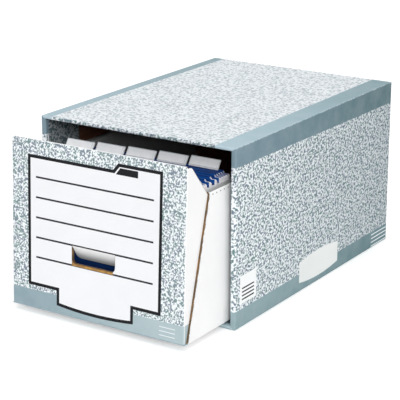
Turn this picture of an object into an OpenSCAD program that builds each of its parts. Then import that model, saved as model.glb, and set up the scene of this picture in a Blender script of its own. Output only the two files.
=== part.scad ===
// File box with a pull-out drawer for hanging files, folded from corrugated board.
// Millimetres. +Z is up, -Y is the front, and the origin is the middle of the casing's underside.

/* [Board] */
// Thickness of the corrugated board
board_t = 3; // [2.6:0.1:3.2]
// Outer radius of a crease in the board
crease_r = 2.8; // [1.5:0.1:2.8]

/* [Casing] */
// Width over the side panels
casing_w = 400; // [392:1:412]
// Height
casing_h = 316; // [315:1:325]
// Depth from the front edge to the rear flaps
casing_d = 570; // [520:1:620]
// Depth of the hems that are folded back inside the mouth, on the top and the sides
hem_d = 94; // [60:1:120]
// Hollow inside the folded front edge of a side panel
side_fold_gap = 4; // [3:0.5:5]
// Hollow inside the folded front edge of the top and of the base
flat_fold_gap = 0.4; // [0.3:0.1:0.8]
// Reach of each rear side flap, inwards from its side panel
side_flap_w = 150; // [100:1:180]
// Outer radius of the crease between the top and its rear flap
top_rear_r = 10; // [8:0.5:12]
// Outer radius of the crease between a side and its rear flap
side_rear_r = 7; // [6:0.5:8]
// Outer radius of the crease between the base and its rear flap
base_rear_r = 4; // [3.5:0.5:6]
// Distance behind the mouth at which the bed that the drawer slides on begins
bed_setback = 30; // [20:1:60]

/* [Drawer] */
// Width of the front panel
front_w = 354; // [350:1:356]
// Length from the foot of the front to the back
drawer_l = 560; // [480:1:560]
// How far the foot of the front stands out of the casing
pull_out = 120; // [60:1:250]
// Height of the front panel, measured along its lean
front_h = 294.5; // [280:0.5:294.5]
// Backward lean of the front panel, in degrees
front_lean = 2.5; // [1:0.1:3]
// Hollow between the two layers of the front panel
front_gap = 1.5; // [1:0.1:2]
// Height of the side walls' ledges above the ground
ledge_z = 251.5; // [240:0.5:255]
// Width of the ledge along the top of each side wall
ledge_w = 20; // [19:0.5:21]
// Distance behind the front panel at which the side walls' front ends meet the ledges
wall_slant = 54; // [48:1:56]
// Clearance between the drawer and the bed it slides on
slide_gap = 0.3; // [0.2:0.1:0.5]

/* [Front wings] */
// How far a wing reaches back, inside the side wall
wing_reach = 97; // [80:1:120]
// Angle of a wing's sloping edge, in degrees
wing_slope = 48; // [48:4:52]
// Radius of the rounded top of a wing
wing_r = 12; // [8:1:14]

/* [Finger hole] */
// Left edge of the hole, seen from the front
hole_x = -49.5; // [-60:0.5:-40]
// Width of the hole
hole_w = 89; // [80:1:100]
// Height of the hole's lower edge, along the front's lean
hole_s = 94; // [88:1:102]
// Height of the hole
hole_h = 31; // [28:1:34]
// Radius of the hole's lower corners
hole_r = 8; // [5:1:10]
// Angle at which the flap is left pushed in, in degrees
flap_angle = 33; // [0:1:50]

/* [Hanging files] */
// Width of a file's pocket
pocket_w = 312; // [300:1:312]
// Height of a file's pocket
pocket_h = 238; // [200:1:240]
// Length of a hanger bar between the tips of its hooks
bar_l = 336; // [332:1:340]
// Thickness of a hanger bar
bar_t = 1.1; // [0.9:0.1:1.1]
// Thickness of the pocket's card
card_t = 0.3; // [0.25:0.05:0.5]
// Distances from the foot of the front to the plain files
plain_places = [75.5, 81.5, 95.5, 112]; // [75:0.5:112]
// Distance from the foot of the front to the first tabbed file
tabbed_start = 125.5; // [122:0.5:130]
// Spacing of the tabbed files, which are pushed together
tabbed_pitch = 6.5; // [5.4:0.1:8]

/* [Index tabs] */
// Width of a tab
tab_w = 58; // [50:1:59]
// Height of a tab's window, along its slope
tab_h = 16.5; // [12:0.5:20]
// Backward slope of a tab, in degrees
tab_lean = 35; // [20:1:40]
// Spacing of the tabs from left to right
tab_pitch = 60; // [60:0.5:61]
// Middle of the leftmost tab
tab_start_x = -122; // [-126:1:-120]

/* [Hidden] */
$fn = 64;
plain_count = len(plain_places);
tabbed_count = 5;
file_count = plain_count + tabbed_count;

front_y = -casing_d / 2;
rear_y = casing_d / 2;
side_edge_w = 2 * board_t + side_fold_gap;
flat_edge_h = 2 * board_t + flat_fold_gap;
liner_d = casing_d - 2 * board_t - 1;
outer_flap_w = casing_w - 2 * side_rear_r;

bed_z = flat_edge_h + board_t;
drawer_z = bed_z + slide_gap;
tray_z = drawer_z + board_t;
foot_y = front_y - pull_out;
back_y = foot_y + drawer_l;
wall_x = front_w / 2 + board_t;
wall_h = ledge_z - tray_z;
wall_gap = ledge_w - 2 * board_t;
front_t = 2 * board_t + front_gap;
front_corner_r = 4;
hole_top_s = hole_s + hole_h;

pocket_top_z = ledge_z + 13.5;
pocket_fold_h = 19;
slot_gap = 0.1;
fold_t = bar_t + slot_gap + 2 * card_t;
mouth_gap = 0.2;
file_half_t = fold_t + mouth_gap / 2;
bar_top_z = pocket_top_z - card_t - 0.1;
bar_low_z = ledge_z - 2.5;
hook_gap = 0.1;
tab_sheet_t = 0.5;
insert_t = 0.35;

white = [0.95, 0.95, 0.94];
print_grey = [0.80, 0.84, 0.85];
band_blue = [0.60, 0.70, 0.74];
kraft = [0.66, 0.50, 0.33];
file_blue = [0.07, 0.27, 0.55];

// ---- Shared shapes ----

// Extrudes a profile drawn as (Y, Z), centred on X = 0.
module along_x(length) rotate([90, 0, 90]) linear_extrude(length, center = true) children();

// Extrudes a profile drawn as (X, Z), from y_from to y_to.
module along_y(y_from, y_to) {
    translate([0, y_to, 0]) rotate([90, 0, 0]) linear_extrude(y_to - y_from) children();
}

// What a square corner at the origin loses when it is rounded to radius r.
module corner_cut(r) {
    difference() {
        translate([-1, -1]) square(r + 1);
        translate([r, r]) circle(r);
    }
}

// Edge view of board that is folded back on itself. The fold is at x = 0, the outer layer's face
// is y = 0, and the inner layer lies below it, across the gap.
module folded_board(outer_l, inner_l, gap, r_outer, r_inner) {
    total = 2 * board_t + gap;
    difference() {
        union() {
            translate([0, -board_t]) square([outer_l, board_t]);
            translate([0, -total]) square([inner_l, board_t]);
            translate([0, -total]) square([board_t, total]);
        }
        mirror([0, 1]) corner_cut(r_outer);
        translate([0, -total]) corner_cut(r_inner);
    }
}

// ---- Casing: a sleeve of four creased panels with hems at its mouth ----

module scale_x(s) mirror([s < 0 ? 1 : 0, 0]) children();

// The casing's rounded outside, which every panel is cut to: its front view, its plan and its
// side view.
module casing_outside() {
    bent_y = rear_y - board_t;
    intersection() {
        along_y(front_y, rear_y) difference() {
            translate([-casing_w / 2, 0]) square([casing_w, casing_h]);
            for (s = [-1, 1]) {
                translate([s * casing_w / 2, 0]) scale_x(-s) corner_cut(crease_r);
                translate([s * casing_w / 2, casing_h]) scale_x(-s) mirror([0, 1])
                    corner_cut(crease_r);
            }
        }
        linear_extrude(casing_h) union() {
            translate([-outer_flap_w / 2, front_y]) square([outer_flap_w, casing_d]);
            difference() {
                translate([-casing_w / 2, front_y]) square([casing_w, bent_y - front_y]);
                for (s = [-1, 1])
                    translate([s * casing_w / 2, bent_y]) scale_x(-s) mirror([0, 1])
                        corner_cut(side_rear_r);
            }
        }
        along_x(casing_w) difference() {
            translate([front_y, 0]) square([casing_d, casing_h]);
            translate([rear_y, 0]) mirror([1, 0]) corner_cut(base_rear_r);
            translate([rear_y, casing_h]) rotate(180) corner_cut(top_rear_r);
        }
    }
}

// Edge view of board bent round a rear crease. The square corner that it rounds is at the origin.
module rear_bend(r) {
    translate([-r, -r]) intersection() {
        difference() {
            circle(r);
            circle(r - board_t);
        }
        square(r);
    }
}

// The region that belongs to the top or to one side, bounded by the mitres at the corners.
module top_region() {
    along_y(front_y, rear_y) polygon([
        [-casing_w / 2, casing_h],
        [casing_w / 2, casing_h],
        [casing_w / 2 - side_edge_w, casing_h - flat_edge_h],
        [-casing_w / 2 + side_edge_w, casing_h - flat_edge_h]
    ]);
}

module right_region() {
    along_y(front_y, rear_y) polygon([
        [casing_w / 2, 0],
        [casing_w / 2, casing_h],
        [casing_w / 2 - side_edge_w, casing_h - flat_edge_h],
        [casing_w / 2 - side_edge_w, flat_edge_h]
    ]);
}

// A top or base panel, drawn as the top: a mitred flat part, and the bend into its rear flap.
module flat_panel(inner_l, rear_r) {
    intersection() {
        union() {
            intersection() {
                along_x(casing_w) translate([front_y, casing_h])
                    folded_board(casing_d - rear_r, inner_l, flat_fold_gap, crease_r, crease_r);
                top_region();
            }
            along_x(casing_w - 2 * board_t) translate([rear_y, casing_h]) rear_bend(rear_r);
        }
        children();
    }
}

module casing_top() {
    color(print_grey) flat_panel(hem_d, top_rear_r) casing_outside();
}

// The base is lined to its full depth, and a bed of one more sheet lies on the lining between the
// sides' hems. It lifts the drawer clear of the folded front edge, so that the drawer slides level.
module casing_base() {
    bed_w = casing_w - 2 * side_edge_w - 1;
    color(band_blue) {
        upside_down() flat_panel(liner_d, base_rear_r) upside_down() casing_outside();
        translate([-bed_w / 2, front_y + bed_setback, bed_z - 1.5 * board_t])
            cube([bed_w, liner_d - bed_setback, 1.5 * board_t]);
    }
}

module upside_down() {
    translate([0, 0, casing_h]) mirror([0, 0, 1]) children();
}

// A side panel bends into its rear flap between the bends of the top and of the base, and its
// corners reach past them.
module casing_right_side() {
    flat_d = casing_d - board_t - side_rear_r;
    color(print_grey) intersection() {
        union() {
            intersection() {
                union() {
                    linear_extrude(casing_h) translate([casing_w / 2, front_y]) rotate(90)
                        mirror([0, 1])
                        folded_board(flat_d, hem_d, side_fold_gap, crease_r, crease_r);
                    translate([casing_w / 2 - board_t, front_y + flat_d, 0])
                        cube([board_t, side_rear_r, flat_edge_h]);
                }
                right_region();
            }
            translate([0, 0, flat_edge_h]) linear_extrude(casing_h - flat_edge_h - top_rear_r)
                translate([casing_w / 2, rear_y - board_t]) rear_bend(side_rear_r);
            translate([casing_w / 2 - board_t, rear_y - top_rear_r, casing_h - top_rear_r])
                cube([board_t, top_rear_r, top_rear_r]);
        }
        casing_outside();
    }
}

module casing_left_side() {
    mirror([1, 0, 0]) casing_right_side();
}

// The rear is closed by four flaps: the side flaps fold in first, and the top and base flaps
// close over them and meet at half height.
module rear_side_flap_right() {
    flap_z = flat_edge_h + 1;
    color(kraft) translate([casing_w / 2 - side_flap_w, rear_y - 2 * board_t, flap_z])
        cube([side_flap_w - side_rear_r, board_t, casing_h - top_rear_r - 1 - flap_z]);
}

module rear_side_flap_left() {
    mirror([1, 0, 0]) rear_side_flap_right();
}

module outer_flap(z_from, z_to) {
    color(print_grey) translate([-outer_flap_w / 2, rear_y - board_t, z_from])
        cube([outer_flap_w, board_t, z_to - z_from]);
}

module rear_top_flap() {
    outer_flap(casing_h / 2 + 0.5, casing_h - top_rear_r);
}

module rear_base_flap() {
    outer_flap(base_rear_r, casing_h / 2 - 0.5);
}

// ---- Drawer ----

// Stands its children on the front panel's foot, leaning with it. Here Y = 0 is the outer face,
// +Y goes into the drawer and Z runs up the panel.
module on_front() {
    translate([0, foot_y, tray_z]) rotate([-front_lean, 0, 0]) children();
}

// Everything behind the slant along which the side walls' front ends are cut.
module behind_slant() {
    slant = wall_slant / wall_h;
    on_front() along_x(2 * wall_x + 2) polygon([
        [front_t, 0],
        [front_t + slant * casing_h, casing_h],
        [2 * drawer_l, casing_h],
        [2 * drawer_l, 0]
    ]);
}

// The floor is creased into the front and the side walls, so its edges are rounded underneath.
// The walls stand a board's thickness outside the front, and the floor's front corners end there.
module drawer_floor() {
    color(white) difference() {
        along_y(foot_y, back_y) difference() {
            translate([-wall_x, drawer_z]) square([2 * wall_x, board_t]);
            for (s = [-1, 1])
                translate([s * wall_x, drawer_z]) scale_x(-s) corner_cut(crease_r);
        }
        along_x(2 * wall_x + 2) translate([foot_y, drawer_z]) corner_cut(crease_r);
        for (s = [-1, 1])
            translate([s * (wall_x - board_t / 2), foot_y + front_t / 2 - 1, tray_z - board_t / 2])
                cube([board_t, front_t + 2, board_t + 1], center = true);
    }
}

// A double wall: the board rolls over at the top into a flat ledge and comes down again inside.
module drawer_right_wall() {
    color(white) intersection() {
        along_y(foot_y, back_y - 2 * board_t - flat_fold_gap)
            translate([wall_x, ledge_z]) rotate(-90)
            folded_board(wall_h, wall_h, wall_gap, board_t + 1, crease_r);
        behind_slant();
    }
}

module drawer_left_wall() {
    mirror([1, 0, 0]) drawer_right_wall();
}

module drawer_back() {
    color(white) along_x(2 * wall_x) translate([back_y, ledge_z]) rotate(-90)
        folded_board(wall_h, wall_h, flat_fold_gap, crease_r, crease_r);
}

// The hole's outline as (X, distance up the front), grown by extra on every side but the top.
module hole_outline(extra, top_s) {
    w = hole_w + 2 * extra;
    h = top_s - hole_s + extra;
    translate([hole_x - extra, hole_s - extra]) difference() {
        square([w, h]);
        corner_cut(hole_r);
        translate([w, 0]) mirror([1, 0]) corner_cut(hole_r);
    }
}

// The front is double: the printed layer rolls over the top edge and comes down inside.
module front_plate() {
    along_x(front_w) translate([0, front_h]) mirror([1, 0]) rotate(-90)
        folded_board(front_h, front_h, front_gap, crease_r, crease_r);
}

// Plan of the front: the outer layer spans the wings and the inner layer fits between them.
module front_plan() {
    inner_w = front_w - 2 * board_t - 0.6;
    linear_extrude(front_h) difference() {
        union() {
            translate([-front_w / 2, 0]) square([front_w, board_t]);
            translate([-inner_w / 2, 0]) square([inner_w, front_t]);
        }
        for (s = [-1, 1])
            translate([s * front_w / 2, 0]) scale_x(-s) corner_cut(crease_r);
    }
}

// Front view of the front, with its top corners taken off.
module front_outline() {
    along_y(-1, front_t + 1) difference() {
        translate([-front_w / 2, 0]) square([front_w, front_h]);
        for (s = [-1, 1])
            translate([s * front_w / 2, front_h]) scale_x(-s) mirror([0, 1])
                corner_cut(front_corner_r);
    }
}

// The board is crushed along the flap's crease, so the hole's top edge slopes up inside.
module hole_cutter() {
    crush_rise = board_t * tan(30);
    along_y(-1, board_t + front_gap / 2) hole_outline(0, hole_top_s);
    along_y(board_t + front_gap / 4, front_t + 1) hole_outline(1, hole_top_s + 3);
    translate([hole_x + hole_w / 2, 0, 0]) along_x(hole_w) polygon([
        [0, hole_top_s],
        [board_t + front_gap / 2, hole_top_s],
        [board_t + front_gap / 2, hole_top_s + crush_rise],
        [board_t, hole_top_s + crush_rise]
    ]);
}

module drawer_front() {
    color(print_grey) difference() {
        on_front() difference() {
            intersection() {
                front_plate();
                front_plan();
                front_outline();
            }
            hole_cutter();
        }
        translate([-front_w, foot_y - 20, tray_z - 20]) cube([2 * front_w, 60, 20]);
    }
}

// A wing folds back from each side edge of the front and is tucked into the side wall, against
// its outer layer. In front of the wall it stands free, with a rounded top and a sloping edge.
module wing_outline() {
    middle = [board_t + 4, front_h - 2 - wing_r];
    arc = [for (a = [90:-4:90 - wing_slope]) middle + wing_r * [cos(a), sin(a)]];
    slope_end = arc[len(arc) - 1];
    rear_s = slope_end.y - (wing_reach - slope_end.x) * tan(wing_slope);
    polygon(concat(
        [[board_t, 1], [board_t, middle.y + wing_r]],
        arc,
        [[wing_reach, rear_s], [wing_reach, 8]]
    ));
}

module front_right_wing() {
    color(white) on_front() translate([(front_w - board_t) / 2, 0, 0])
        along_x(board_t) wing_outline();
}

module front_left_wing() {
    mirror([1, 0, 0]) front_right_wing();
}

// The flap is cut from the outer layer and hinges on the crease along its top edge.
module finger_flap() {
    side_cut = 0.5;
    crush_drop = board_t * tan(55);
    color(white) on_front() translate([0, 0, hole_top_s]) rotate([flap_angle, 0, 0])
        translate([0, 0, -hole_top_s]) intersection() {
            along_y(0, board_t) hole_outline(-side_cut, hole_top_s);
            along_x(front_w) polygon([
                [0, hole_s],
                [board_t, hole_s],
                [board_t, hole_top_s - crush_drop],
                [0, hole_top_s - 0.1]
            ]);
        }
}

// ---- Hanging files ----

// Middle of file i, counted from the front of the drawer.
function file_y(i) = foot_y + (i <= plain_count
    ? plain_places[i - 1]
    : tabbed_start + (i - 1 - plain_count) * tabbed_pitch);

// One side of a pocket as (Y, Z): a sheet of card folded over at the top into a sleeve
// that holds the hanger bar.
module pocket_side() {
    straight_h = pocket_h - file_half_t;
    translate([-file_half_t, pocket_top_z - straight_h]) square([card_t, straight_h]);
    translate([-file_half_t, pocket_top_z - pocket_fold_h]) difference() {
        square([fold_t, pocket_fold_h]);
        translate([card_t, card_t]) square([fold_t - 2 * card_t, pocket_fold_h - 2 * card_t]);
    }
}

module pocket_profile() {
    pocket_side();
    mirror([1, 0]) pocket_side();
    translate([0, pocket_top_z - pocket_h + file_half_t]) difference() {
        circle(file_half_t);
        circle(file_half_t - card_t);
        translate([-2 * file_half_t, 0]) square(4 * file_half_t);
    }
}

module file_pocket(i) {
    color(file_blue) translate([0, file_y(i), 0]) along_x(pocket_w) pocket_profile();
}

// Half of a hanger bar as (X, Z). Past the pocket it narrows to a hook: a notch, and a tooth
// that stands on the ledge.
bar_half = [
    [wall_x - ledge_w - 1.7, bar_low_z],
    [wall_x - ledge_w - 1.7, ledge_z + 2.5],
    [wall_x - ledge_w + 3.5, ledge_z + 2.5],
    [wall_x - ledge_w + 3.5, ledge_z + hook_gap],
    [bar_l / 2 - 0.8, ledge_z + hook_gap],
    [bar_l / 2, ledge_z + 1],
    [bar_l / 2, ledge_z + 7],
    [bar_l / 2 - 2, ledge_z + 9],
    [pocket_w / 2 + 2, ledge_z + 9],
    [pocket_w / 2 - 1, bar_top_z]
];

module bar_outline() {
    count = len(bar_half);
    polygon(concat(bar_half, [for (k = [count - 1:-1:0]) [-bar_half[k].x, bar_half[k].y]]));
}

// The pair of bars in file i, one in each side's sleeve.
module file_bars(i) {
    middle = (mouth_gap + fold_t) / 2;
    color(white) for (s = [-1, 1])
        translate([0, file_y(i) + s * middle, 0]) along_y(-bar_t / 2, bar_t / 2) bar_outline();
}

// Stands its children on a tab's slope: X is then through the window and Y is up it.
module on_tab_slope() {
    foot_gap = 1.1;
    translate([-file_half_t - tab_sheet_t, pocket_top_z + foot_gap]) rotate(-tab_lean) children();
}

// Edge view of a tab: a foot in front of the pocket, and two sheets with room for the insert.
module tab_profile() {
    foot_h = 9;
    translate([-file_half_t - tab_sheet_t, pocket_top_z - foot_h])
        square([tab_sheet_t, foot_h + 1.3]);
    on_tab_slope() difference() {
        square([3 * tab_sheet_t, tab_h]);
        translate([tab_sheet_t, 1]) square([tab_sheet_t, tab_h - 2]);
    }
}

module at_tab(i) {
    translate([tab_start_x + (i - 1 - plain_count) * tab_pitch, file_y(i), 0]) children();
}

module file_tab(i) {
    color([0.9, 0.93, 0.95, 0.6]) at_tab(i) along_x(tab_w) tab_profile();
}

module file_insert(i) {
    side_margin = 4;
    color("white") at_tab(i) along_x(tab_w - 2 * side_margin) on_tab_slope()
        translate([1.5 * tab_sheet_t - insert_t / 2, 1.1]) square([insert_t, tab_h - 2.2]);
}

// ---- What is drawn ----

casing_top();
casing_base();
casing_left_side();
casing_right_side();
rear_side_flap_left();
rear_side_flap_right();
rear_top_flap();
rear_base_flap();
drawer_floor();
drawer_left_wall();
drawer_right_wall();
drawer_back();
drawer_front();
front_left_wing();
front_right_wing();
finger_flap();
for (i = [1:file_count]) {
    file_pocket(i);
    file_bars(i);
}
for (i = [plain_count + 1:file_count]) {
    file_tab(i);
    file_insert(i);
}
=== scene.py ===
"""The looks of a corrugated file box whose drawer holds hanging files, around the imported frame."""

import math

import bmesh
import bpy
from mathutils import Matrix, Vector


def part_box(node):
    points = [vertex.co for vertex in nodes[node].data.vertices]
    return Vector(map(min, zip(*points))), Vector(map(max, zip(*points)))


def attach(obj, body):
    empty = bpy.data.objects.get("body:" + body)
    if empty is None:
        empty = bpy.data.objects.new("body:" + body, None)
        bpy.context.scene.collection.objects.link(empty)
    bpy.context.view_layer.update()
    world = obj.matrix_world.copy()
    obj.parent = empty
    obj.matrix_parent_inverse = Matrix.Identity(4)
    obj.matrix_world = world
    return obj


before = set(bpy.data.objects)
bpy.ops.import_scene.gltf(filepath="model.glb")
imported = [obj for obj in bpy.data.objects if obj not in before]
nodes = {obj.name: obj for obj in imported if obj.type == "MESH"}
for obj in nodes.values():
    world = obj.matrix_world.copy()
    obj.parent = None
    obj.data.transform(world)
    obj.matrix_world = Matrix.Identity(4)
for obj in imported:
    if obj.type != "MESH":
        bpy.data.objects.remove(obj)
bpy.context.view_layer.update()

# ---- Real sizes, in metres ----

MM = 0.001
HALF_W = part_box("casing_right_side")[1].x
TOP_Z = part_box("casing_top")[1].z
FRONT_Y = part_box("casing_top")[0].y
REAR_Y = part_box("rear_top_flap")[1].y
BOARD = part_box("rear_top_flap")[1].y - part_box("rear_top_flap")[0].y
BASE_EDGE_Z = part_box("casing_base")[1].z - BOARD
FOOT_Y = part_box("drawer_front")[0].y
FOOT_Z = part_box("drawer_front")[0].z
FRONT_HALF_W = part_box("drawer_front")[1].x
LEDGE_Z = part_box("drawer_right_wall")[1].z
WALL_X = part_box("drawer_right_wall")[1].x
LEDGE_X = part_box("drawer_right_wall")[0].x
BAR_TIP = 2.9 * MM
SLEEVE_END_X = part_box("file_1_bars")[1].x - BAR_TIP
LEAN = math.radians(2.5)
FLAP_ANGLE = math.radians(33)
FRONT_GAP = 1.5 * MM
WING_SLOPE = math.radians(48)
TAB_LEAN = math.radians(35)
TAB_H = 16.5 * MM

# The finger hole, measured up the panel from its foot.
FLAP_SLIT = 0.5 * MM
HOLE_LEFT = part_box("finger_flap")[0].x - FLAP_SLIT
HOLE_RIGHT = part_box("finger_flap")[1].x + FLAP_SLIT
HOLE_BOTTOM = 94 * MM
HOLE_TOP = 125 * MM
HOLE_CORNER = 8 * MM
INNER_HOLE_MARGIN = 1 * MM
HOLE_ZONE_MARGIN = 3 * MM
HOLE_ZONE_LOW = 80 * MM
HOLE_ZONE_HIGH = 150 * MM
TORN_W = 1 * MM

# The printed front, measured from the middle of the panel and up it from the drawer's underside.
# A stack of plain lines is (left, right, lowest, pitch, count), a patch (left, right, low, high).
PRINT_Z = FOOT_Z - BOARD
LABEL_LEFT = -139.5 * MM
LABEL_RIGHT = 128.8 * MM
LABEL_BOTTOM = 45 * MM
LABEL_TOP = 269 * MM
LABEL_OVERLAP = 20 * MM
STEP_TOP = 281 * MM
STEP_FOOT_X = 35.5 * MM
STEP_HEAD_X = 45.5 * MM
LOWER_TAB_LEFT = -79 * MM
LOWER_TAB_RIGHT = 74 * MM
LOWER_TAB_BOTTOM = 18.5 * MM
LOWER_TAB_BOW = 4.5 * MM
OUTLINE_W = 5.6 * MM
RULE_LEFT = -125.5 * MM
RULE_RIGHT = 115 * MM
RULE_FIRST = 93.7 * MM
RULE_PITCH = 35.1 * MM
RULE_COUNT = 5
RULE_W = 3.2 * MM
STEP_BOX = (39.5 * MM, 83.5 * MM, 265 * MM, 276.5 * MM)
STEP_BOX_SLANT = 0.75
FRONT_BAND = 34 * MM
FRONT_MARGIN = 0.8 * MM
FRONT_LINES = (129 * MM, 160 * MM, 9.5 * MM, 7.2 * MM, 3)
FRONT_LINE_W = 1.6 * MM

# The plain bands along the casing's edges, and what is printed on its sides.
TOP_BAND_LEFT = 23 * MM
TOP_BAND_RIGHT = 40 * MM
SIDE_BAND_TOP = 33 * MM
SIDE_BAND_SLANT = 7 * MM
SIDE_BAND_BOTTOM = 33 * MM
SIDE_LINES = (213 * MM, 275 * MM, 2.6 * MM, 7.6 * MM, 4)
SIDE_LINE_W = 2.2 * MM
SMALL_PATCH = (-269.5 * MM, -217 * MM, 42 * MM, 92 * MM)
PATCH_LINES = (-263 * MM, -224 * MM, 48 * MM, 6.5 * MM, 4)
PATCH_LINE_W = 2.6 * MM
LONG_PATCH = (-68.5 * MM, 75 * MM, 17 * MM, 55 * MM)
LONG_PATCH_BOW = 6 * MM

# Corrugated board on its cut edges, which stand a little proud of the solids and start in them.
FLUTE_PITCH = 6.5 * MM
STEPS_PER_FLUTE = 12
LINER_T = 0.45 * MM
MEDIUM_T = 0.4 * MM
EDGE_PROUD = 0.3 * MM
HOLE_PROUD = 0.15 * MM
EDGE_SUNK = 0.2 * MM
# The width of the dark strip of fraying liner at a wall's front end, darkened partly as painted
# shade.
FRAY_AND_SHADE_W = 2.4 * MM

# The row of cuts below the ledge's crease.
PERFORATION_PITCH = 11.5 * MM
PERFORATION_START = 2.7 * MM
PERFORATION_DROP = 5.2 * MM
PERFORATION_HALF_L = 1.8 * MM
PERFORATION_HALF_H = 1.1 * MM

# How far behind a front fold or a foot a print, a bare face or a painted shade begins or ends.
HEM_START = 8 * MM
BASE_PAINTED_SHADE_FROM = 7 * MM
BASE_PAINTED_SHADE_FULL = 16 * MM
BASE_BED_START = 20 * MM
FLOOR_WRAP = 9 * MM
WALL_CORNER = 11 * MM

# A face looks along an axis where its normal's share of that axis is above FACING.
FACING = 0.5

# A length beyond every edge of the object, for a side on which a printed area has no end.
FAR = 1

# A height above a level that still counts as lying on it.
HAIR = 0.1 * MM

# The photographer's stand, solved from the box's edges in the photograph: its place in metres,
# its turn and its look down in degrees, and the lens and the sensor in millimetres.
CAMERA_PLACE = (1.42952, -2.28092, 0.97338)
CAMERA_TURN = 33.052
CAMERA_DOWN = 17.602
CAMERA_LENS = 136.35
CAMERA_SENSOR = 36


def srgb(code):
    """The linear colour that a web colour such as "8FA8AF" stands for."""
    channels = [int(code[i : i + 2], 16) / 255 for i in (0, 2, 4)]
    return [c / 12.92 if c <= 0.04045 else ((c + 0.055) / 1.055) ** 2.4 for c in channels] + [1]


PAPER_WHITE = srgb("F3F8FB")
LINER_WHITE = srgb("FAFAFA")
SLATE = srgb("707E8D")
TEAL = srgb("698586")
# Painted shade: a dark slate mixed into the print where less light falls.
SLATE_PAINTED_SHADE = srgb("50646B")
INK_BLACK = srgb("17181C")
RULE_INK = srgb("2A2C30")
LINE_WHITE = srgb("E4EAEC")
KRAFT = srgb("B98D57")
KRAFT_DARK = srgb("6E5237")
# Painted shade: bare kraft darkened for the faces inside the box, and darkened to near black under
# the top.
KRAFT_IN_PAINTED_SHADE = srgb("79503F")
KRAFT_IN_DEEP_PAINTED_SHADE = srgb("3B2F2A")
FLUTE_SHADOW = srgb("5B4632")
FILE_BLUE = srgb("10509F")
FILE_NAVY = srgb("14336F")

# The front's band is one strip of ink, which the floor's crease and the wings carry on.
FRONT_BAND_LEFT_INK = "8DA3AC"
FRONT_BAND_RIGHT_INK = "B0C2C6"
FLOOR_BAND_INK = "9CB1B9"
# A blue-grey tone on each drawer wall's outer face at its front foot.
CORNER_TONE = "A9BCBC"


# ---- A small language for procedural materials ----


class Field:
    """A number that varies over a surface: one output of a material's node graph."""

    def __init__(self, graph, socket):
        self.graph = graph
        self.socket = socket

    def __add__(self, other):
        return self.graph.math("ADD", self, other)

    def __sub__(self, other):
        return self.graph.math("SUBTRACT", self, other)

    def __rsub__(self, other):
        return self.graph.math("SUBTRACT", other, self)

    def __mul__(self, other):
        return self.graph.math("MULTIPLY", self, other)

    def __gt__(self, other):
        return self.graph.math("GREATER_THAN", self, other)

    def __lt__(self, other):
        return self.graph.math("LESS_THAN", self, other)

    def __abs__(self):
        return self.graph.math("ABSOLUTE", self)

    def __and__(self, other):
        return self.graph.math("MINIMUM", self, other)

    def __or__(self, other):
        return self.graph.math("MAXIMUM", self, other)


class Graph:
    """One material's node graph. x, y and z are the frame's own coordinates at rest."""

    def __init__(self, name, roughness=0.8, specular=0.25):
        self.material = bpy.data.materials.new(name)
        self.material.use_nodes = True
        self.tree = self.material.node_tree
        self.shader = self.tree.nodes["Principled BSDF"]
        self.shader.inputs["Roughness"].default_value = roughness
        self.shader.inputs["Specular IOR Level"].default_value = specular
        texture = self.tree.nodes.new("ShaderNodeTexCoord")
        self.place = texture.outputs["Object"]
        self.x, self.y, self.z = self.split(self.place)
        self.nx, self.ny, self.nz = self.split(texture.outputs["Normal"])

    def split(self, vector):
        node = self.tree.nodes.new("ShaderNodeSeparateXYZ")
        self.tree.links.new(vector, node.inputs[0])
        return [Field(self, node.outputs[i]) for i in range(3)]

    def feed(self, socket, value):
        if isinstance(value, Field):
            self.tree.links.new(value.socket, socket)
        elif isinstance(value, bpy.types.NodeSocket):
            self.tree.links.new(value, socket)
        else:
            socket.default_value = value

    def math(self, operation, *values):
        node = self.tree.nodes.new("ShaderNodeMath")
        node.operation = operation
        for socket, value in zip(node.inputs, values):
            self.feed(socket, value)
        return Field(self, node.outputs[0])

    def ramp(self, value, low, high, to_low=0.0, to_high=1.0):
        """A smooth step from to_low, where value is low, to to_high, where it is high."""
        node = self.tree.nodes.new("ShaderNodeMapRange")
        node.interpolation_type = "SMOOTHSTEP"
        for socket, number in zip(node.inputs, (value, low, high, to_low, to_high)):
            self.feed(socket, number)
        return Field(self, node.outputs[0])

    def mix(self, factor, first, second):
        """The first colour where the factor is 0, and the second where it is 1."""
        node = self.tree.nodes.new("ShaderNodeMix")
        node.data_type = "RGBA"
        self.feed(node.inputs[0], factor)
        self.feed(node.inputs[6], first)
        self.feed(node.inputs[7], second)
        return node.outputs[2]

    def noise(self, scale, detail=2.0, roughness=0.5, distortion=0.0, stretch=None, offset=0.0):
        node = self.tree.nodes.new("ShaderNodeTexNoise")
        place = self.place
        if stretch or offset:
            mapping = self.tree.nodes.new("ShaderNodeMapping")
            mapping.inputs["Scale"].default_value = stretch or (1, 1, 1)
            mapping.inputs["Location"].default_value = (offset, offset, offset)
            self.tree.links.new(place, mapping.inputs[0])
            place = mapping.outputs[0]
        self.tree.links.new(place, node.inputs["Vector"])
        node.inputs["Scale"].default_value = scale
        node.inputs["Detail"].default_value = detail
        node.inputs["Roughness"].default_value = roughness
        node.inputs["Distortion"].default_value = distortion
        return Field(self, node.outputs[0])

    def bump(self, height, distance):
        """Gives the material relief of a depth in metres, where height goes from 0 to 1."""
        node = self.tree.nodes.new("ShaderNodeBump")
        node.inputs["Distance"].default_value = distance
        self.feed(node.inputs["Height"], height)
        self.tree.links.new(node.outputs[0], self.shader.inputs["Normal"])

    def colour(self, value):
        self.feed(self.shader.inputs["Base Color"], value)

    def inside(self, u, v, left, right, low, high):
        """1 inside a rectangle, 0 outside."""
        return (u > left) & (u < right) & (v > low) & (v < high)


# ---- Printed board ----


def shade(colour, share):
    return [c * share for c in colour[:3]] + [1]


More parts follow.
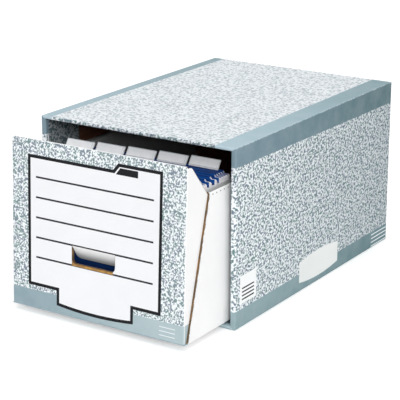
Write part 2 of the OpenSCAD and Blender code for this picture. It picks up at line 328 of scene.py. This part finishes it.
def backwards(g):
    """0 at the casing's mouth and 1 at its rear."""
    return g.math("MULTIPLY_ADD", g.y, 1 / (REAR_Y - FRONT_Y), -FRONT_Y / (REAR_Y - FRONT_Y))


def mottle(g, cover, cell=4.0 * MM, stretch=None, contrast=1.0):
    """The print's random slate and teal strokes on white. cover is the share that is inked."""
    noise_spread = 0.36
    softness = 0.10
    strokes = g.noise(1 / cell, detail=0.8, distortion=0.5, stretch=stretch)
    level = (0.5 - cover) * noise_spread + 0.5
    ink = g.ramp(strokes, level - softness, level + softness, 0.0, contrast)
    hue = g.ramp(g.noise(75, detail=1.0, offset=7.0), 0.4, 0.6)
    return g.mix(ink, PAPER_WHITE, g.mix(hue, SLATE, TEAL))


def plain_band(g, first, last=None, share=None):
    """The flat ink of a band. Its tone goes from first to last: towards the rear, where the
    darkening is painted shade, or by share.
    """
    # Towards the rear, the darker last tone is painted shade.
    tone = g.mix(share or g.ramp(backwards(g), -0.2, 1.1), srgb(first), srgb(last or first))
    patchy = g.ramp(g.noise(30, detail=4.0, roughness=0.6), 0.3, 0.7, 0.0, 0.07)
    return g.mix(patchy, tone, PAPER_WHITE)


def ruled(g, u, v, lines, thickness):
    """A stack of short plain lines: (left, right, lowest, pitch, count)."""
    left, right, lowest, pitch, count = lines
    found = None
    for k in range(count):
        low = lowest + k * pitch
        line = g.inside(u, v, left, right, low, low + thickness)
        found = line if found is None else found | line
    return found


def bare_kraft(g, light=KRAFT, dark=KRAFT_DARK):
    """Unprinted brown liner, with fibres that run along the box."""
    fibres = g.noise(60, detail=5.0, roughness=0.7, stretch=(1.0, 0.12, 1.0))
    return g.mix(g.ramp(fibres, 0.35, 0.65), dark, light)


# Painted shade: bare kraft darkened, for the faces inside the box.
def kraft_in_painted_shade(g):
    return bare_kraft(g, KRAFT_IN_PAINTED_SHADE, shade(KRAFT_IN_PAINTED_SHADE, 0.7))


def cut_kraft(g):
    """The dark hollows between the liners of a cut edge, behind the modelled flutes."""
    return bare_kraft(g, shade(FLUTE_SHADOW, 1.3), FLUTE_SHADOW)


def white_liner(g, colour=LINER_WHITE):
    clouds = g.noise(18, detail=4.0, roughness=0.6)
    return g.mix(g.ramp(clouds, 0.3, 0.7), shade(colour, 0.975), colour)


def board_relief(g):
    """The fine grain of the liner."""
    g.bump(g.noise(900, detail=3.0, roughness=0.6), 0.06 * MM)


def worn(g, surface, edge_distance):
    """Lightens the print along a crease, where it rubs off."""
    rub = g.ramp(edge_distance, 0.4 * MM, 1.6 * MM, 1.0, 0.0)
    patchy = g.ramp(g.noise(140, detail=3.0, offset=5.0), 0.42, 0.62, 0.0, 0.5)
    return g.mix(rub & patchy, surface, PAPER_WHITE)


def casing_top_material():
    """Mottle between two plain bands, paled as painted light on top, darkened as painted shade on
    the front fold and towards the rear, and near black underneath as painted shade.
    """
    painted_rear_shade = 0.06
    painted_fold_shade = 0.15
    g = Graph("printed_top")
    # Painted light: the top's mottle has less ink and less contrast than the sides' because the top
    # is lit more.
    strokes = mottle(g, 0.40, cell=4.6 * MM, contrast=0.52)
    # Painted shade: the print darkens towards the rear.
    strokes = g.mix(backwards(g) * painted_rear_shade, strokes, SLATE_PAINTED_SHADE)
    # Painted shade: the forward-facing front fold catches less light, so its mottle is darkened.
    edge = g.mix(painted_fold_shade, mottle(g, 0.52, cell=4.2 * MM), SLATE_PAINTED_SHADE)
    strokes = g.mix(g.ny < -0.3, strokes, edge)
    print_ = g.mix(g.x < -HALF_W + TOP_BAND_LEFT, strokes, plain_band(g, "AFC5CF", "8EA6AD"))
    print_ = g.mix(g.x > HALF_W - TOP_BAND_RIGHT, print_, plain_band(g, "B4CBD5", "8AA3AA"))
    print_ = worn(g, print_, HALF_W - abs(g.x))
    # Painted shade: the hem's underside is darkened to near black, and the top's inner face is kraft
    # darkened to near black.
    print_ = g.mix(g.nz < -FACING, print_, shade(SLATE_PAINTED_SHADE, 0.25))
    under = (g.nz < -FACING) & (g.z > TOP_Z - 1.5 * BOARD)
    g.colour(g.mix(under, print_, bare_kraft(g, KRAFT_IN_DEEP_PAINTED_SHADE, shade(KRAFT_IN_DEEP_PAINTED_SHADE, 0.6))))
    board_relief(g)
    return g.material


def casing_side_material():
    """Mottle between two bands, with patches on the right side, darkened as painted shade towards
    the rear, and a printed hem and bare kraft inside, both darkened as painted shade.
    """
    painted_rear_shade = 0.40
    painted_hem_shade = 0.62
    g = Graph("printed_side")
    back = backwards(g)
    strokes = mottle(g, 0.47, cell=3.7 * MM, stretch=(1.0, 0.8, 1.0))
    # Painted shade: the print darkens towards the rear, where less light falls.
    strokes = g.mix(back * painted_rear_shade, strokes, SLATE_PAINTED_SHADE)
    upper = g.z > (TOP_Z - SIDE_BAND_TOP) - back * SIDE_BAND_SLANT
    lower = g.z < SIDE_BAND_BOTTOM
    hem = (abs(g.x) < HALF_W - 2 * BOARD) & (g.y > FRONT_Y + HEM_START)
    print_ = g.mix(upper & (1 - hem), strokes, plain_band(g, "768F9B", "587379"))
    print_ = g.mix(lower & (1 - hem), print_, plain_band(g, "90A8AD", "5E7C82"))
    outside = g.nx > FACING
    left, right, low, high = LONG_PATCH
    off = (g.y - (left + right) / 2) * (2 / (right - left))
    bow = (1 - off * off) * LONG_PATCH_BOW
    off_middle = abs(g.z - (low + high) / 2) - bow
    long_patch = g.inside(g.y, off_middle, left, right, -FAR, (high - low) / 2)
    patch_lines = ruled(g, g.y, g.z, PATCH_LINES, PATCH_LINE_W)
    paper = g.mix(patch_lines, white_liner(g, srgb("F9FBFB")), INK_BLACK)
    print_ = g.mix(g.inside(g.y, g.z, *SMALL_PATCH) & outside, print_, paper)
    print_ = g.mix(long_patch & outside, print_, white_liner(g, srgb("E9ECEB")))
    side_lines = ruled(g, g.y, g.z, SIDE_LINES, SIDE_LINE_W)
    print_ = g.mix(side_lines & outside, print_, LINE_WHITE)
    print_ = worn(g, print_, TOP_Z - g.z)
    inside = (abs(g.x) < HALF_W - 0.5 * BOARD) & (abs(g.x) > HALF_W - 1.5 * BOARD)
    # Painted shade: the printed hem inside is darkened.
    print_ = g.mix(hem, print_, g.mix(painted_hem_shade, strokes, shade(SLATE_PAINTED_SHADE, 0.5)))
    # Painted shade: the inner faces are bare kraft darkened.
    g.colour(g.mix(inside & (abs(g.nx) > FACING), print_, kraft_in_painted_shade(g)))
    board_relief(g)
    return g.material


def casing_base_material():
    """The base: printed, darkened to slate as painted shade behind its front fold, and brown in
    painted shade on the bed.
    """
    g = Graph("printed_base")
    band = (g.x < -HALF_W + TOP_BAND_LEFT) | (g.x > HALF_W - TOP_BAND_RIGHT)
    print_ = g.mix(band, mottle(g, 0.45), plain_band(g, "A9C0C6", "94ABB1"))
    # Painted shade: behind its front fold the base lies under the drawer, and is painted a dark
    # slate there.
    behind = g.ramp(g.y, FRONT_Y + BASE_PAINTED_SHADE_FROM, FRONT_Y + BASE_PAINTED_SHADE_FULL)
    print_ = g.mix(behind & (g.nz > FACING), print_, srgb("6C818A"))
    bed = (g.z > BASE_EDGE_Z + HAIR) & (g.y > FRONT_Y + BASE_BED_START)
    g.colour(g.mix(bed, print_, kraft_in_painted_shade(g)))
    board_relief(g)
    return g.material


def rear_flap_material():
    """The outer rear flaps: mottle between bands on the rear face, and shaded brown elsewhere."""
    g = Graph("printed_rear")
    upper = g.z > TOP_Z - SIDE_BAND_TOP - SIDE_BAND_SLANT
    print_ = g.mix(upper, mottle(g, 0.5), plain_band(g, "8199A4", "7C949B"))
    print_ = g.mix(g.z < SIDE_BAND_BOTTOM, print_, plain_band(g, "A0B6B9", "7F999D"))
    g.colour(g.mix(g.ny > FACING, kraft_in_painted_shade(g), print_))
    board_relief(g)
    return g.material


def kraft_material():
    g = Graph("bare_kraft", roughness=0.9)
    g.colour(bare_kraft(g))
    board_relief(g)
    return g.material


def flute_material():
    """The paper of the liners and the flutes on a cut edge, browner here and paler there."""
    g = Graph("cut_edge", roughness=0.9)
    fibres = g.noise(700, detail=3.0, roughness=0.7)
    tone = g.mix(g.ramp(fibres, 0.35, 0.65), srgb("8E6E48"), srgb("C0955C"))
    stain = g.ramp(g.noise(45, detail=2.0, offset=2.0), 0.36, 0.56)
    g.colour(g.mix(stain, tone, srgb("75654F")))
    g.bump(fibres, 0.08 * MM)
    return g.material


def box_distance(u, v, left, right, low, high):
    """How far a point is outside a rectangle, or minus how deep it is inside."""
    across = abs(u - (left + right) / 2) - (right - left) / 2
    along = abs(v - (low + high) / 2) - (high - low) / 2
    return across | along


def label_distance(x, s):
    """How far a point of the front is outside the label's outline, or minus how deep inside."""
    body = box_distance(x, s, LABEL_LEFT, LABEL_RIGHT, LABEL_BOTTOM, LABEL_TOP)
    slope = (STEP_HEAD_X - STEP_FOOT_X) / (STEP_TOP - LABEL_TOP)
    tilt = 1 / math.hypot(1, slope)
    step_side = (STEP_FOOT_X - x + (s - LABEL_TOP) * slope) * tilt
    step = box_distance(x, s, -FAR, LABEL_RIGHT, LABEL_TOP - LABEL_OVERLAP, STEP_TOP) | step_side
    middle = (LOWER_TAB_LEFT + LOWER_TAB_RIGHT) / 2
    half = (LOWER_TAB_RIGHT - LOWER_TAB_LEFT) / 2
    off = (x - middle) * (1 / half)
    bowed = LOWER_TAB_BOTTOM - s - (1 - off * off) * LOWER_TAB_BOW
    tab_top = LABEL_BOTTOM + LABEL_OVERLAP
    lower = box_distance(x, s, LOWER_TAB_LEFT, LOWER_TAB_RIGHT, -FAR, tab_top) | bowed
    return body & step & lower


def front_material():
    """The drawer's printed front: mottle, band, and a ruled writing panel with a black outline."""
    g = Graph("printed_front")
    s = (g.z - PRINT_Z) * (1 / math.cos(LEAN))
    depth = (g.y - FOOT_Y) * math.cos(LEAN) - (g.z - FOOT_Z) * math.sin(LEAN)
    panel = label_distance(g.x, s)
    rule_lines = (RULE_LEFT, RULE_RIGHT, RULE_FIRST - RULE_W / 2, RULE_PITCH, RULE_COUNT)
    rules = ruled(g, g.x, s, rule_lines, RULE_W)
    left, right, low, high = STEP_BOX
    step_box = g.inside(g.x, s, (s - low) * STEP_BOX_SLANT + left, right, low, high)
    strokes = mottle(g, 0.50 - g.x * 0.16, cell=3.2 * MM, contrast=0.93)
    rightwards = g.ramp(g.x, -FRONT_HALF_W, FRONT_HALF_W)
    band = plain_band(g, FRONT_BAND_LEFT_INK, FRONT_BAND_RIGHT_INK, rightwards)
    ground = g.mix(s < FRONT_BAND, strokes, band)
    ground = g.mix(ruled(g, g.x, s, FRONT_LINES, FRONT_LINE_W), ground, LINE_WHITE)
    margin = (g.x > FRONT_HALF_W - FRONT_MARGIN) & (s > FRONT_BAND)
    ground = g.mix(margin, ground, LINER_WHITE)
    label = g.mix(rules, white_liner(g, srgb("F2F3F6")), RULE_INK)
    label = g.mix(step_box, label, INK_BLACK)
    print_ = g.mix(panel < OUTLINE_W / 2, ground, INK_BLACK)
    print_ = g.mix(panel < -OUTLINE_W / 2, print_, label)
    printed_side = depth < 0.6 * BOARD
    surface = g.mix(printed_side, white_liner(g), print_)
    left = HOLE_LEFT - HOLE_ZONE_MARGIN
    right = HOLE_RIGHT + HOLE_ZONE_MARGIN
    hole = g.inside(g.x, s, left, right, HOLE_ZONE_LOW, HOLE_ZONE_HIGH)
    inner_side = (abs(g.nx) > FACING) & (depth > BOARD)
    cut = (hole & (abs(g.ny) < 0.6)) | inner_side | (g.nz < -FACING)
    torn = g.inside(g.x, s, HOLE_LEFT, HOLE_RIGHT - HOLE_CORNER / 2, HOLE_BOTTOM - TORN_W, HOLE_TOP)
    surface = g.mix(torn & printed_side, surface, bare_kraft(g, srgb("BC9150"), srgb("8C683C")))
    g.colour(g.mix(cut, surface, cut_kraft(g)))
    board_relief(g)
    return g.material


def white_board_material():
    """The floor and the back: white, with the front's band round the crease at the floor's front.

    The back's inner face is bare brown, darkened as painted shade, and its side edges are cut board.
    """
    g = Graph("white_board")
    foot = (g.y < FOOT_Y + FLOOR_WRAP) & (g.z < FOOT_Z + HAIR)
    surface = g.mix(foot, white_liner(g), plain_band(g, FLOOR_BAND_INK))
    inner = (g.ny < -FACING) & (g.y > 0)
    # Painted shade: the back's inner face is bare kraft darkened.
    surface = g.mix(inner, surface, kraft_in_painted_shade(g))
    g.colour(g.mix((abs(g.nx) > FACING) & (g.z > FOOT_Z), surface, cut_kraft(g)))
    board_relief(g)
    return g.material


def wing_material():
    """The wings: white, with the front's band along the foot, and cut board on their edges."""
    g = Graph("wing_board")
    band = g.z < PRINT_Z + FRONT_BAND
    surface = g.mix(band, white_liner(g), plain_band(g, FRONT_BAND_RIGHT_INK))
    g.colour(g.mix(abs(g.nx) < FACING, surface, cut_kraft(g)))
    board_relief(g)
    return g.material


def flap_material():
    """The finger flap, white in front and brown behind, and greyed by painted shade towards its free
    edge.
    """
    g = Graph("finger_flap")
    # Painted shade: the flap's face greys towards its free edge, down in the hole.
    painted_shade_ramp = g.ramp(g.z, FOOT_Z + HOLE_BOTTOM, FOOT_Z + HOLE_TOP, 1.0, 0.0)
    face = g.mix(painted_shade_ramp, white_liner(g), srgb("8C8F91"))
    g.colour(g.mix(g.ny > 0.3, face, bare_kraft(g)))
    board_relief(g)
    return g.material


def wall_material():
    """White board with a row of cuts below the ledge's crease, shown as grey dots of painted shade,
    and a front end with fraying liner, darkened partly as painted shade.

    The ledge is grey with painted shade, darker towards its outer crease, and the wall's inner face
    is grey with painted shade.
    """
    g = Graph("wall_board")
    start = FRONT_Y + PERFORATION_START
    along = g.math("FRACT", (g.y - start) * (1 / PERFORATION_PITCH)) - 0.5
    along = along * (PERFORATION_PITCH / PERFORATION_HALF_L)
    across = (g.z - (LEDGE_Z - PERFORATION_DROP)) * (1 / PERFORATION_HALF_H)
    dot = (along * along + across * across) < 1.0
    outer = abs(g.x) > WALL_X - 0.5 * MM
    corner = outer & (g.y < FOOT_Y + WALL_CORNER) & (g.z < FOOT_Z + WALL_CORNER)
    # Painted shade: each cut is a grey dot, the shade inside the slit.
    surface = g.mix(dot & outer, white_liner(g), srgb("8A8C8E"))
    # A blue-grey tone on the outer face at the front foot.
    surface = g.mix(corner, surface, plain_band(g, CORNER_TONE))
    painted_shade_ramp = g.ramp(abs(g.x), LEDGE_X + 2 * MM, WALL_X - 3 * MM)
    foot, slope = wall_end()
    ragged = g.ramp(g.noise(90, detail=3.0, offset=3.0), 0.35, 0.65, 0.3 * FRAY_AND_SHADE_W, FRAY_AND_SHADE_W)
    # The front end is fraying liner, and its dark colour is partly painted shade.
    frayed_and_painted_shade = (g.y - (g.z - FOOT_Z) * slope - ragged) < foot
    surface = g.mix(frayed_and_painted_shade & outer, surface, srgb("6E6457"))
    # Painted shade: the ledge's top is grey, darker towards its outer crease.
    ledge = g.mix(painted_shade_ramp, srgb("D9DADA"), srgb("9C9E9D"))
    surface = g.mix(g.nz > 0.8, surface, ledge)
    # Painted shade: the wall's inner face is grey.
    inner_face_in_painted_shade = (abs(g.x) < LEDGE_X + 1 * MM) & (abs(g.nx) > FACING)
    surface = g.mix(inner_face_in_painted_shade, surface, white_liner(g, srgb("A9ABAD")))
    g.colour(g.mix(g.ny < -FACING, surface, cut_kraft(g)))
    board_relief(g)
    return g.material


def file_material():
    g = Graph("file_card", roughness=0.55)
    streaks = g.noise(220, detail=4.0, roughness=0.65, stretch=(0.06, 1.0, 1.0))
    g.colour(g.mix(g.ramp(streaks, 0.35, 0.65), FILE_NAVY, FILE_BLUE))
    g.bump(streaks, 0.08 * MM)
    return g.material


def bar_material():
    """White plastic, with the blue sleeve's colour on the flat faces as far as the bare tips."""
    g = Graph("bar_plastic", roughness=0.45, specular=0.4)
    white = g.mix(g.ramp(g.noise(120, detail=2.0), 0.4, 0.6), srgb("F8F7FA"), srgb("EDECF0"))
    sleeve = (abs(g.x) < SLEEVE_END_X) & (abs(g.ny) > FACING)
    g.colour(g.mix(sleeve, white, FILE_BLUE))
    g.bump(g.noise(500), 0.03 * MM)
    return g.material


def tab_material(name="tab_plastic", alpha=0.95, light="FDFEFF", dark="F8FAFB"):
    g = Graph(name, roughness=0.2, specular=1.0)
    g.colour(g.mix(g.ramp(g.noise(60, detail=2.0), 0.4, 0.6), srgb(light), srgb(dark)))
    g.shader.inputs["Alpha"].default_value = alpha
    return g.material


def insert_material():
    g = Graph("insert_paper", roughness=0.75)
    g.colour(g.mix(g.ramp(g.noise(80, detail=3.0), 0.4, 0.6), srgb("FBFBFC"), srgb("F3F4F6")))
    return g.material


def dress(material, *names):
    for name in names:
        slots = nodes[name].data.materials
        slots.clear()
        slots.append(material)


def dress_frame():
    """Gives every CAD node its material."""
    dress(casing_top_material(), "casing_top")
    dress(casing_side_material(), "casing_left_side", "casing_right_side")
    dress(casing_base_material(), "casing_base")
    dress(rear_flap_material(), "rear_top_flap", "rear_base_flap")
    dress(kraft_material(), "rear_side_flap_left", "rear_side_flap_right")
    dress(front_material(), "drawer_front")
    dress(white_board_material(), "drawer_floor", "drawer_back")
    dress(flap_material(), "finger_flap")
    dress(wall_material(), "drawer_left_wall", "drawer_right_wall")
    dress(wing_material(), "front_left_wing", "front_right_wing")
    dress(file_material(), *[n for n in nodes if n.endswith("_pocket")])
    dress(bar_material(), *[n for n in nodes if n.endswith("_bars")])
    dress(tab_material(), *[n for n in nodes if n.endswith("_tab")])
    dress(insert_material(), *[n for n in nodes if n.endswith("_insert")])


# ---- Modelled pieces ----


def add_piece(name, body, material, vertices, faces):
    """Makes a closed mesh, and lets it move with a body."""
    mesh = bpy.data.meshes.new(name)
    mesh.from_pydata(vertices, [], faces)
    mesh.materials.append(material)
    shape = bmesh.new()
    shape.from_mesh(mesh)
    bmesh.ops.recalc_face_normals(shape, faces=shape.faces)
    shape.to_mesh(mesh)
    shape.free()
    piece = bpy.data.objects.new(name, mesh)
    bpy.context.scene.collection.objects.link(piece)
    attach(piece, body)


def add_bar(vertices, faces, sections):
    """Adds a closed solid that runs through a row of four-cornered sections."""
    base = len(vertices)
    for section in sections:
        vertices.extend(section)
    for k in range(len(sections) - 1):
        a = base + 4 * k
        for i in range(4):
            j = (i + 1) % 4
            faces.append((a + i, a + j, a + 4 + j, a + 4 + i))
    last = base + 4 * (len(sections) - 1)
    faces.append((base + 3, base + 2, base + 1, base))
    faces.append((last, last + 1, last + 2, last + 3))


def on_front(x, depth, s):
    """A point of the leaning front: across it, into it and up it from its foot."""
    y = FOOT_Y + depth * math.cos(LEAN) + s * math.sin(LEAN)
    z = FOOT_Z - depth * math.sin(LEAN) + s * math.cos(LEAN)
    return Vector((x, y, z))


def on_flap(x, depth, drop):
    """A point of the finger flap: across it, into it and down it from its crease."""
    turned = depth * math.cos(FLAP_ANGLE) + drop * math.sin(FLAP_ANGLE)
    rise = depth * math.sin(FLAP_ANGLE) - drop * math.cos(FLAP_ANGLE)
    return on_front(x, turned, HOLE_TOP + rise)


UP = Vector((0, 0, 1))
ACROSS = Vector((1, 0, 0))


def cut_edge(name, body, start, end, out, flutes=UP, proud=EDGE_PROUD):
    """The cut edge of a corrugated board: two liners, and the medium that waves between them.

    start and end are the middle of the board's thickness, out points out of the cut face, and
    flutes is the way that the board's flutes run. A cut along the flutes shows no wave.
    """
    along = (end - start).normalized()
    length = (end - start).length
    out = out.normalized()
    across = out.cross(along)
    crossing = along.cross(flutes).length
    liner_at = (BOARD - LINER_T) / 2
    swing = liner_at - (LINER_T + MEDIUM_T) / 2 if crossing > 0.1 else 0
    waves = length * crossing / FLUTE_PITCH

    def section(u, offset, thickness):
        middle = start + along * u + across * offset
        side = across * (thickness / 2)
        low = middle - out * EDGE_SUNK
        high = middle + out * proud
        return [low - side, low + side, high + side, high - side]

    vertices = []
    faces = []
    for offset in (-liner_at, liner_at):
        add_bar(vertices, faces, [section(u, offset, LINER_T) for u in (0, length)])
    steps = max(1, math.ceil(waves * STEPS_PER_FLUTE)) if swing else 1
    medium = []
    for k in range(steps + 1):
        wave = swing * math.sin(2 * math.pi * waves * k / steps)
        medium.append(section(length * k / steps, wave, MEDIUM_T))
    add_bar(vertices, faces, medium)
    add_piece(name, body, cut_paper, vertices, faces)


def foremost(node, height):
    """The foremost y of a node's corners at a height."""
    mesh = nodes[node].data
    return min(v.co.y for v in mesh.vertices if abs(v.co.z - height) < 0.01 * MM)


def wall_end():
    """The foremost y of a drawer wall's foot, and how much y its front end gains with height."""
    foot = foremost("drawer_right_wall", FOOT_Z)
    return foot, (foremost("drawer_right_wall", LEDGE_Z) - foot) / (LEDGE_Z - FOOT_Z)


def add_wall_edges():
    """The slanted front ends of the drawer's walls: up outside, over the ledge, down inside."""
    foot, slope = wall_end()
    out = Vector((0, -1, slope))

    def at(x, z):
        return Vector((x, foot + (z - FOOT_Z) * slope, z))

    roll = BOARD + 1 * MM
    outer = WALL_X - BOARD / 2
    inner = LEDGE_X + BOARD / 2
    level = LEDGE_Z - BOARD / 2
    low = FOOT_Z + 0.3 * MM
    high = LEDGE_Z - roll
    for side, word in ((1, "right"), (-1, "left")):
        for layer, x in (("outer", side * outer), ("inner", side * inner)):
            cut_edge(f"{word}_wall_{layer}_edge", "drawer", at(x, low), at(x, high), out)
        ledge = [at(side * (WALL_X - roll), level), at(side * (LEDGE_X + roll), level)]
        cut_edge(f"{word}_ledge_edge", "drawer", *ledge, out, flutes=ACROSS)


def add_wing_edges():
    """The sloping edges of the wings, from the rear end up to the rounded top."""
    rear_zone = 8 * MM
    rounding = 5 * MM
    wing = nodes["front_right_wing"].data
    top = max(v.co.z for v in wing.vertices)
    back = max(v.co.y for v in wing.vertices)
    rear = max((v.co for v in wing.vertices if v.co.y > back - rear_zone), key=lambda p: p.z)
    slope = WING_SLOPE + LEAN
    uphill = Vector((0, -math.cos(slope), math.sin(slope)))
    out = Vector((0, math.sin(slope), math.cos(slope)))
    length = (top - rounding - rear.z) / math.sin(slope)
    for side, word in ((1, "right"), (-1, "left")):
        start = Vector((side * (FRONT_HALF_W - BOARD / 2), rear.y, rear.z))
        cut_edge(f"{word}_wing_edge", "drawer", start + uphill * MM, start + uphill * length, out)


def add_hole_edges():
    """The finger hole's edges in both layers of the front, and the finger flap's."""
    low = HOLE_BOTTOM + HOLE_CORNER
    up = on_front(0, 0, 1) - on_front(0, 0, 0)
    inner_depth = 1.5 * BOARD + FRONT_GAP
    layers = (("outer", BOARD / 2, 0), ("inner", inner_depth, INNER_HOLE_MARGIN))
    for word, depth, extra in layers:
        left = HOLE_LEFT - extra
        right = HOLE_RIGHT + extra
        bottom = HOLE_BOTTOM - extra
        ends = [on_front(x, depth, bottom) for x in (left + HOLE_CORNER, right - HOLE_CORNER)]
        cut_edge(f"hole_{word}_bottom_edge", "drawer", *ends, up, proud=HOLE_PROUD)
        for side, x, out in (("left", left, ACROSS), ("right", right, -ACROSS)):
            ends = [on_front(x, depth, s) for s in (low - extra, HOLE_TOP - 1 * MM)]
            cut_edge(f"hole_{word}_{side}_edge", "drawer", *ends, out, proud=HOLE_PROUD)
    drop = HOLE_TOP - HOLE_BOTTOM - FLAP_SLIT
    left = HOLE_LEFT + FLAP_SLIT
    right = HOLE_RIGHT - FLAP_SLIT
    down = on_flap(0, 0, 1) - on_flap(0, 0, 0)
    ends = [on_flap(x, BOARD / 2, drop) for x in (left + HOLE_CORNER, right - HOLE_CORNER)]
    cut_edge("flap_bottom_edge", "finger_flap", *ends, down, flutes=down, proud=HOLE_PROUD)
    for side, x, out in (("left", left, -ACROSS), ("right", right, ACROSS)):
        ends = [on_flap(x, BOARD / 2, d) for d in (5 * MM, drop - HOLE_CORNER)]
        cut_edge(f"flap_{side}_edge", "finger_flap", *ends, out, flutes=down, proud=HOLE_PROUD)


def add_upright_edges():
    """The side edges of the casing's rear flaps and of the drawer's double back."""
    for side, word in ((1, "right"), (-1, "left")):
        for node in ("rear_top_flap", "rear_base_flap"):
            low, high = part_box(node)
            ends = [Vector((side * high.x, (low.y + high.y) / 2, z)) for z in (low.z, high.z)]
            cut_edge(f"{node}_{word}_edge", "casing", *ends, ACROSS * side)
        low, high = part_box("drawer_back")
        for layer, y in (("front", low.y + BOARD / 2), ("rear", high.y - BOARD / 2)):
            ends = [Vector((side * high.x, y, z)) for z in (low.z, high.z - BOARD)]
            cut_edge(f"back_{layer}_{word}_edge", "drawer", *ends, ACROSS * side)


def add_tab_rims():
    """The welded rim round each index tab's window, with a ridge near its right end."""
    rim_material = tab_material("tab_rim", 0.9, "D8DDE1", "CBD1D6")
    rim_w = 1.2 * MM
    ridge_in = 4.2 * MM
    ridge_w = 0.6 * MM
    proud = 0.25 * MM
    up = Vector((0, math.sin(TAB_LEAN), math.cos(TAB_LEAN)))
    out = Vector((0, -math.cos(TAB_LEAN), math.sin(TAB_LEAN)))
    for tab in [n for n in nodes if n.endswith("_tab")]:
        low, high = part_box(tab)
        foot = Vector((0, low.y, high.z - TAB_H * math.cos(TAB_LEAN)))
        vertices = []
        faces = []

        def bar(x0, x1, v0, v1):
            ends = []
            for x in (x0, x1):
                ends.append([foot + ACROSS * x + up * v + out * o
                             for v, o in ((v0, 0), (v1, 0), (v1, proud), (v0, proud))])
            add_bar(vertices, faces, ends)

        bar(low.x + rim_w, high.x - rim_w, 0, rim_w)
        bar(low.x + rim_w, high.x - rim_w, TAB_H - rim_w, TAB_H)
        bar(low.x, low.x + rim_w, 0, TAB_H)
        bar(high.x - rim_w, high.x, 0, TAB_H)
        bar(high.x - ridge_in, high.x - ridge_in + ridge_w, rim_w, TAB_H - rim_w)
        add_piece(f"{tab}_rim", "tabbed_files", rim_material, vertices, faces)


# ---- Studio ----


def add_camera():
    """Stands where the photographer stood: 33 degrees to the right of the front and 17.6 above."""
    camera = bpy.data.cameras.new("camera")
    camera.sensor_width = CAMERA_SENSOR
    camera.lens = CAMERA_LENS
    camera.clip_start = 0.1
    stand = bpy.data.objects.new("camera", camera)
    stand.location = CAMERA_PLACE
    stand.rotation_euler = (math.radians(90 - CAMERA_DOWN), 0, math.radians(CAMERA_TURN))
    bpy.context.scene.collection.objects.link(stand)
    bpy.context.scene.camera = stand


def add_sun(name, towards, power, spread):
    """A far soft lamp that stands in the direction towards, seen from the object."""
    lamp = bpy.data.lights.new(name, "SUN")
    lamp.energy = power
    lamp.angle = math.radians(spread)
    stand = bpy.data.objects.new(name, lamp)
    stand.location = Vector(towards) * 3
    stand.rotation_euler = (-Vector(towards)).to_track_quat("-Z", "Y").to_euler()
    bpy.context.scene.collection.objects.link(stand)


def add_world(strength):
    """Even light of the given strength, and plain white for what is seen past the object.

    The camera sees that white directly, through clear plastic and mirrored in a shiny face.
    """
    world = bpy.data.worlds.new("studio")
    bpy.context.scene.world = world
    world.use_nodes = True
    tree = world.node_tree
    light = tree.nodes["Background"]
    light.inputs["Color"].default_value = (1, 1, 1, 1)
    light.inputs["Strength"].default_value = strength
    seen = tree.nodes.new("ShaderNodeBackground")
    seen.inputs["Color"].default_value = (1, 1, 1, 1)
    seen.inputs["Strength"].default_value = 1
    path = tree.nodes.new("ShaderNodeLightPath")
    mix = tree.nodes.new("ShaderNodeMixShader")
    direct = path.outputs["Is Camera Ray"]
    for ray in ("Is Transmission Ray", "Is Glossy Ray"):
        either = tree.nodes.new("ShaderNodeMath")
        either.operation = "MAXIMUM"
        tree.links.new(direct, either.inputs[0])
        tree.links.new(path.outputs[ray], either.inputs[1])
        direct = either.outputs[0]
    tree.links.new(direct, mix.inputs[0])
    tree.links.new(light.outputs[0], mix.inputs[1])
    tree.links.new(seen.outputs[0], mix.inputs[2])
    tree.links.new(mix.outputs[0], tree.nodes["World Output"].inputs[0])


def add_floor(glow):
    """A plain pale floor, which the camera sees a little brighter than the light makes it."""
    half = 30
    corners = [(-half, -half, 0), (half, -half, 0), (half, half, 0), (-half, half, 0)]
    mesh = bpy.data.meshes.new("floor")
    mesh.from_pydata(corners, [], [(0, 1, 2, 3)])
    floor = bpy.data.objects.new("floor", mesh)
    floor.location.z = -0.2 * MM
    bpy.context.scene.collection.objects.link(floor)
    g = Graph("floor", roughness=0.9, specular=0.1)
    g.colour(srgb("F7F7F7"))
    emission = g.tree.nodes.new("ShaderNodeEmission")
    path = g.tree.nodes.new("ShaderNodeLightPath")
    seen = Field(g, path.outputs["Is Camera Ray"])
    g.feed(emission.inputs["Strength"], seen * glow)
    both = g.tree.nodes.new("ShaderNodeAddShader")
    g.tree.links.new(g.shader.outputs[0], both.inputs[0])
    g.tree.links.new(emission.outputs[0], both.inputs[1])
    g.tree.links.new(both.outputs[0], g.tree.nodes["Material Output"].inputs[0])
    mesh.materials.append(g.material)


add_camera()
add_world(strength=0.47)
add_sun("key", towards=(0.58, -0.64, 0.40), power=1.32, spread=25)
add_sun("overhead", towards=(0.10, -0.15, 1.00), power=1.05, spread=60)
add_floor(glow=0.27)
dress_frame()
cut_paper = flute_material()
add_wall_edges()
add_wing_edges()
add_hole_edges()
add_upright_edges()
add_tab_rims()
bpy.context.scene.view_settings.view_transform = "Standard"
